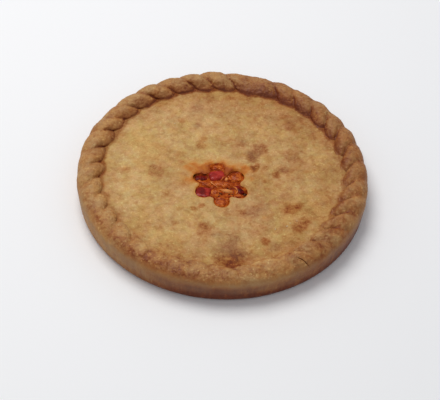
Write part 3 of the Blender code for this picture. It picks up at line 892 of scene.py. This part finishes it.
def make_lid(material, reach):
    """The lid: gently uneven, with low blisters where it has browned."""
    piece = carried_copy("pastry_lid", "lid")
    sharpen_vent_lip(piece)
    subdivide_smoothly(piece, 3)
    points = places(piece)
    height = points[:, 2]
    radius, angle = round_and_angle(points)
    distance = distance_to_vent(points)
    spots, grey, red, blister, ragged = toasted_spots(points)
    foot = read_around(angle, reach)

    # The shape: uneven on top, lifted where it meets the rope, rounded at the vent
    top = ease(height, LID_TOP - 3, LID_TOP - 1.2)
    under_rope = ease(radius, foot - 1.5, foot + 2)
    push = 0.3 * cloudy(points, 12, 13) + 0.24 * cloudy(points, 4.5, 14)
    push += 0.28 * (ridged(points, 5, 15) * ridged(points, 3, 16) - 0.35) + 0.5 * blister
    fillet = 0.45 * ease(radius, foot - 5, foot + 1) * hump(angle, 250, 90)
    moved = points.copy()
    moved[:, 2] += top * (push * ease(distance, 0, 2) + 0.75 * under_rope + fillet)
    moved[:, 2] -= top * 0.55 * bell(distance, 0, 1.2)
    uneven = 0.35 * cloudy(points * (1, 1, 0.3), 5, 17) * np.exp(-distance / 1.5)
    inward = points[:, :2] - VENT_CENTRE
    inward /= np.hypot(*inward.T)[:, None]
    moved[:, :2] += inward * uneven[:, None]
    set_places(piece, moved)

    # The browning: more to the right and at the front and back, and darker along the rope, where it is partly
    # painted shade
    side = ease(points[:, 0] * 0.9 - points[:, 1] * 0.1, -70, 60)
    toast = 0.26 + 0.12 * side + 0.08 * ease(radius, 80, 98)
    toast += 0.09 * ease(np.abs(points[:, 1] + 5), 62, 88)
    at_rope = ease(radius, foot - 1.4 - around(angle, LID_EDGE_REACH), foot + 0.4)
    toast += 0.08 * cloudy(points, 28, 18) + (0.05 + around(angle, LID_EDGE_TOAST_AND_SHADE)) * at_rope

    # The sauce that has soaked into the lid around the vent, most of it behind; the darker rim behind the
    # upper right petals is partly painted shade
    bearing = round_and_angle(points, VENT_CENTRE)[1]
    behind = hump(bearing, 120, 100)
    stain = (0.26 + 0.16 * behind) * np.exp(-distance / (0.9 + 0.8 * behind))
    stain += 0.16 * np.exp(-distance / 4)
    stain += 0.54 * behind * np.exp(-distance / 7) * (1 + ragged)
    # Painted shade, with some stain: darker along the rim behind the upper right petals
    stain += 0.12 * hump(bearing, 70, 50) * np.exp(-distance / 5)
    for x, y, size, strength in SAUCE_DRIPS:
        stain += 0.8 * strength * ease(nearness(points, x, y, size) + ragged, -0.5, 1)
    wall = fade(height, LID_TOP - 2.5, LID_TOP - 0.7)
    stain = np.where(distance < 1.5, np.maximum(stain, 0.75 * wall), stain)

    add_measures(piece, toast=clamp(toast), spot=spots, dust=grey, blush=red)
    add_measures(piece, mottle=1.04 + 0.06 * side, stain=clamp(stain))
    finish_piece(piece, material, "lid", "pastry_lid")
    return piece


def join_pieces(pieces, name):
    pick_only(pieces[0])
    for piece in pieces:
        piece.select_set(True)
    bpy.ops.object.join()
    pieces[0].name = name
    return pieces[0]


def make_flakes(lid):
    """Thin curled flakes, each a small bent scrap, lying on the lid; their pale colour is partly a painted
    highlight where the lid shows glints.
    """
    points = places(lid)
    upper = points[points[:, 2] > LID_TOP - 1.5]
    joined = []
    for number, (x, y, size, turn) in enumerate(FLAKES_AND_GLINTS):
        rest = upper[nearness(upper, x, y, 1.5) > 0, 2].max()
        pick_none()
        bpy.ops.mesh.primitive_grid_add(
            x_subdivisions=4,
            y_subdivisions=4,
            size=1.8 * size * MM,
            location=(x * MM, y * MM, (rest + 0.02) * MM),
            rotation=(math.radians(6), math.radians(-5), math.radians(turn)),
        )
        flake = bpy.context.active_object
        draw = random.Random(number)
        for vertex in flake.data.vertices:
            bend = 0.12 * (vertex.co.x / MM) ** 2 / size
            vertex.co.x *= 1 + 0.35 * draw.uniform(-1, 1)
            vertex.co.y *= 0.6 + 0.3 * draw.uniform(-1, 1)
            vertex.co.z += (bend + 0.05 * draw.uniform(-1, 1)) * MM
        add_thickness(flake, 0.1, 0)
        apply_all(flake)
        settle(flake)
        joined.append(flake)
    finish_piece(join_pieces(joined, "pastry_flakes_and_glints"), make_flake_and_glint_material(), "crust")


def add_thickness(piece, thickness, offset):
    """A wall's thickness in millimetres: both ways for no offset, downwards for minus one."""
    modifier = piece.modifiers.new("Thickness", "SOLIDIFY")
    modifier.thickness = thickness * MM
    modifier.offset = offset


def vent_reach(lid):
    """The vent's radius about its own centre, in even steps all round."""
    points = places(lid)
    away, angle = round_and_angle(points, VENT_CENTRE)
    wall = (away < VENT_REACH + 2) & between(points[:, 2], LID_TOP - 1.7, LID_TOP - 0.9)
    steps = (angle / (360 / VENT_STEPS)).astype(int)
    known = np.unique(steps[wall])
    means = [away[wall & (steps == number)].mean() for number in known]
    return np.interp(range(VENT_STEPS), known, means, period=VENT_STEPS)


def make_filling_body(material, vent):
    """The cooked filling under the lid, with a lumpy wet mound under the vent."""
    pick_none()
    bpy.ops.mesh.primitive_cylinder_add(
        vertices=96,
        radius=FILLING_RADIUS * MM,
        depth=(FILLING_TOP - FILLING_LOW) * MM,
        end_fill_type="NGON",
        location=(0, 0, (FILLING_TOP + FILLING_LOW) / 2 * MM),
    )
    piece = bpy.context.active_object
    piece.name = "cooked_filling"
    settle(piece)
    edit_faces(piece, lambda faces: [face.normal.z > 0.9 for face in faces])
    bpy.ops.mesh.inset(thickness=(FILLING_RADIUS - MOUND_RADIUS) * MM)
    bpy.ops.transform.translate(value=(VENT_CENTRE[0] * MM, VENT_CENTRE[1] * MM, 0))
    bpy.ops.mesh.delete(type="ONLY_FACE")
    shape = bmesh.from_edit_mesh(piece.data)
    for edge in shape.edges:
        edge.select = edge.is_boundary
    bmesh.update_edit_mesh(piece.data)
    bpy.ops.mesh.fill_grid(span=24)
    bpy.ops.mesh.subdivide(number_cuts=3)
    end_edit()
    points = places(piece)
    away, angle = round_and_angle(points, VENT_CENTRE)
    reach = read_around(angle, vent)
    mound = fade(away, reach + 0.2, reach + 1.2)
    lumps = 0.45 * cloudy(points, 5, 21) + 0.25 * cloudy(points, 1.9, 22)
    sunk = np.zeros(len(points))
    for x, y, size, depth in SAUCE_HOLLOWS:
        sunk = np.maximum(sunk, depth * ease(nearness(points, x, y, size), 0, 0.7))
    climb = 1.5 * np.exp(-np.maximum(reach - away, 0) / 1.3) * fade(sunk, 0, 1)
    rise = np.maximum(SAUCE_LEVEL - FILLING_TOP + lumps + climb - sunk, 0.1)
    points[:, 2] += rise * mound * (points[:, 2] > FILLING_TOP - 0.1)
    set_places(piece, points)
    finish_piece(piece, material, "sauce", "filling")
    return piece


def long_axis(flat):
    """The direction in which points seen from above reach furthest, and the one across it."""
    along = np.linalg.eigh(flat.T @ flat)[1][:, 1]
    return along, np.array((-along[1], along[0]))


def squared(points, centre, flatness):
    """The points moved so that the piece has a flatter top and fuller corners."""
    half = np.ptp(points[:, 2]) / 2
    share = np.clip((points[:, 2] - centre[2]) / half, -1, 1)
    flat = (points - centre)[:, :2]
    along, across = long_axis(flat)
    local = np.stack((flat @ along, flat @ across), axis=1)
    scaled = np.abs(local / np.maximum(np.abs(local).max(axis=0), 0.01))
    round_size = np.hypot(*scaled.T)
    square_size = np.maximum((scaled ** 5).sum(axis=1), 1e-9) ** 0.2
    fuller = 1 + flatness * (round_size / square_size - 1)
    moved = points.copy()
    moved[:, :2] = centre[:2] + flat * fuller[:, None]
    moved[:, 2] = centre[2] + half * np.sign(share) * np.abs(share) ** (1 - 0.6 * flatness)
    return moved


def make_cooked_piece(node, material, slot, growth, roughening, size, fibres, flatness):
    """A refined copy of a cooked piece: swollen a little, uneven, and ribbed along its length."""
    piece = carried_copy(node, node + "_cooked")
    subdivide_smoothly(piece, 3)
    points = places(piece)
    centre = (points.min(axis=0) + points.max(axis=0)) / 2
    if flatness:
        points = squared(points, centre, flatness)
        set_places(piece, points)
    flat = (points - centre)[:, :2]
    along, across = long_axis(flat)
    local = np.stack((flat @ along * 0.22, flat @ across, 0.3 * (points[:, 2] - centre[2])), axis=1)
    seed = sum(ord(letter) for letter in node) % 97
    push = roughening * (0.7 * cloudy(points, size, seed) + 0.3 * cloudy(points, size / 3, seed + 1))
    local += 0.9 * np.stack([cloudy(points, 3.5, seed + 3 + axis, 2) for axis in range(3)], axis=1)
    push += fibres * (ridged(local, 1.6, seed + 2) - 0.4)
    grown = centre + (points - centre) * (growth, growth, 1)
    set_places(piece, grown + outward(piece) * push[:, None])
    finish_piece(piece, material, slot, node)
    return piece


def smooth_path(path, count):
    """Evenly spaced points along a smooth line through the given ones."""
    given = np.array(path, dtype=float)
    ends = np.vstack((2 * given[0] - given[1], given, 2 * given[-1] - given[-2]))
    result = []
    for share in np.linspace(0, len(given) - 1, count):
        start = min(int(share), len(given) - 2)
        before, first, second, after = ends[start:start + 4]
        t = share - start
        bend = 2 * before - 5 * first + 4 * second - after
        twist = 3 * (first - second) + after - before
        result.append(0.5 * (2 * first + (second - before) * t + bend * t * t + twist * t ** 3))
    return np.array(result)


def surface_of(pieces):
    """One tree of faces for all the pieces, to find the height of what shows."""
    corners, faces = [], []
    for piece in pieces:
        start = len(corners)
        corners += [vertex.co.copy() for vertex in piece.data.vertices]
        faces += [[start + index for index in face.vertices] for face in piece.data.polygons]
    return BVHTree.FromPolygons(corners, faces)


def drop_onto(surface, x, y):
    """Where something let fall from above lands on the surface, if it does."""
    return surface.ray_cast(Vector((x, y, DROP_HEIGHT)) * MM, Vector((0, 0, -1)))[0]


def make_shred(path, width, surface, draw):
    """A torn strand: a thin strip laid along a path over what lies beneath it."""
    sections = 15
    pick_none()
    bpy.ops.mesh.primitive_grid_add(x_subdivisions=sections - 1, y_subdivisions=4, size=2)
    shred = bpy.context.active_object
    line = smooth_path(path, sections)
    ahead = np.gradient(line, axis=0)
    ahead /= np.linalg.norm(ahead, axis=1)[:, None]
    landings = [drop_onto(surface, x, y) for x, y in line]
    heights = [landing.z / MM if landing else SAUCE_LEVEL for landing in landings]
    heights = np.convolve(np.pad(heights, 2, mode="edge"), np.ones(5) / 5, mode="valid")
    for vertex in shred.data.vertices:
        station = int(round((vertex.co.x + 1) / 2 * (sections - 1)))
        side = vertex.co.y
        end = min(station, sections - 1 - station) / 3
        half = 0.5 * width * min(1, 0.35 + 0.65 * end) * (1 + 0.22 * draw.uniform(-1, 1))
        across = np.array((-ahead[station][1], ahead[station][0]))
        x, y = line[station] + across * side * half
        crown = 0.22 * width * (1 - side * side) * min(1, end)
        rise = heights[station] + 0.15 + crown - 0.45 * max(0, 1 - end) + 0.1 * draw.uniform(-1, 1)
        vertex.co = (x * MM, y * MM, rise * MM)
    add_thickness(shred, 0.8, -1)
    subdivide_smoothly(shred, 1)
    return shred


def make_shreds(surface, chicken, onion):
    draw = random.Random(5)
    for slot, strands, material in (("chicken", CHICKEN_SHREDS, chicken), ("onion", ONION_SHREDS, onion)):
        shreds = [make_shred(path, width, surface, draw) for path, width in strands]
        finish_piece(join_pieces(shreds, slot + "_shreds"), material, slot)


def make_herbs(surface, material):
    """Dark flecks, each a small ragged lump pressed flat: cooked herb, and one larger lump at the right
    petal's tip.
    """
    flecks = []
    for number, (x, y, long, wide, turn) in enumerate(HERBS):
        pick_none()
        bpy.ops.mesh.primitive_ico_sphere_add(subdivisions=3, radius=0.5 * MM)
        fleck = bpy.context.active_object
        points = places(fleck)
        points *= 1 + 0.9 * cloudy(points, 0.45, 60 + number)[:, None]
        set_places(fleck, points * (long, wide, 0.5))
        fleck.location = (x * MM, y * MM, drop_onto(surface, x, y).z + 0.1 * MM)
        fleck.rotation_euler = (0, 0, math.radians(turn))
        settle(fleck)
        flecks.append(fleck)
    finish_piece(join_pieces(flecks, "herb_flecks"), material, "sauce")


def make_filling(vent):
    """The sauce under the lid, and all that shows of the filling in the vent."""
    finishes = {name: make_wet_material(name, *values) for name, values in WET_FINISHES.items()}
    shown = [make_filling_body(finishes["thick_sauce"], vent)]
    for node in sorted(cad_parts):
        for start, finish, *shape in COOKED_PIECES:
            if node.startswith(start):
                shown.append(make_cooked_piece(node, finishes[finish], *shape))
                break
    surface = surface_of(shown)
    make_shreds(surface, finishes["sauced_chicken"], finishes["cooked_onion"])
    make_herbs(surface, finishes["cooked_herb"])


# The stage


def make_stage():
    pick_none()
    bpy.ops.mesh.primitive_plane_add(size=FLOOR_WIDTH, location=(0, 0, 0))
    floor = bpy.context.active_object
    floor.name = "floor"
    floor.data.materials.append(make_floor_material())

    world = bpy.data.worlds.new("pale_room")
    world.use_nodes = True
    tree = world.node_tree
    set_up(tree, tree.nodes["Background"], {"Color": ROOM_COLOUR, "Strength": ROOM_LIGHT})
    bpy.context.scene.world = world
    bpy.context.scene.view_settings.view_transform = "Standard"

    light = bpy.data.lights.new("overhead", "AREA")
    light.shape = "DISK"
    light.size = LAMP_WIDTH
    light.energy = LAMP_POWER
    light.color = LAMP_COLOUR
    lamp = new_object("overhead", light)
    lamp.location = LAMP_PLACE
    lamp.rotation_euler = (-Vector(LAMP_PLACE)).to_track_quat("-Z", "Y").to_euler()


def make_camera():
    """The photo's viewpoint: tilted a little, and looking down on the base's centre."""
    elevation = math.radians(CAMERA_ELEVATION)
    roll = math.radians(CAMERA_ROLL)
    ahead = Vector((0, math.cos(elevation), -math.sin(elevation)))
    level = Vector((1, 0, 0))
    upright = level.cross(ahead)
    right = level * math.cos(roll) + upright * math.sin(roll)
    up = upright * math.cos(roll) - level * math.sin(roll)
    camera = bpy.data.cameras.new("camera")
    camera.sensor_width = SENSOR_WIDTH
    width, height = PHOTO_SIZE
    x, y = BASE_CENTRE_PIXEL
    camera.lens = LENS_PIXELS / width * SENSOR_WIDTH
    camera.shift_x = (width / 2 - x) / width
    camera.shift_y = (y - height / 2) / width
    item = new_object("camera", camera)
    turned = Matrix((right, up, -ahead)).transposed().to_4x4()
    turned.translation = -ahead * CAMERA_DISTANCE
    item.matrix_world = turned
    bpy.context.scene.camera = item


def main():
    grain = make_pastry_grain()
    baked = make_baked_colour()
    crust = make_crust(make_crust_material(grain, baked))
    lid = make_lid(make_lid_material(grain, baked), rope_reach(crust))
    make_flakes(lid)
    make_filling(vent_reach(lid))
    make_stage()
    make_camera()


main()
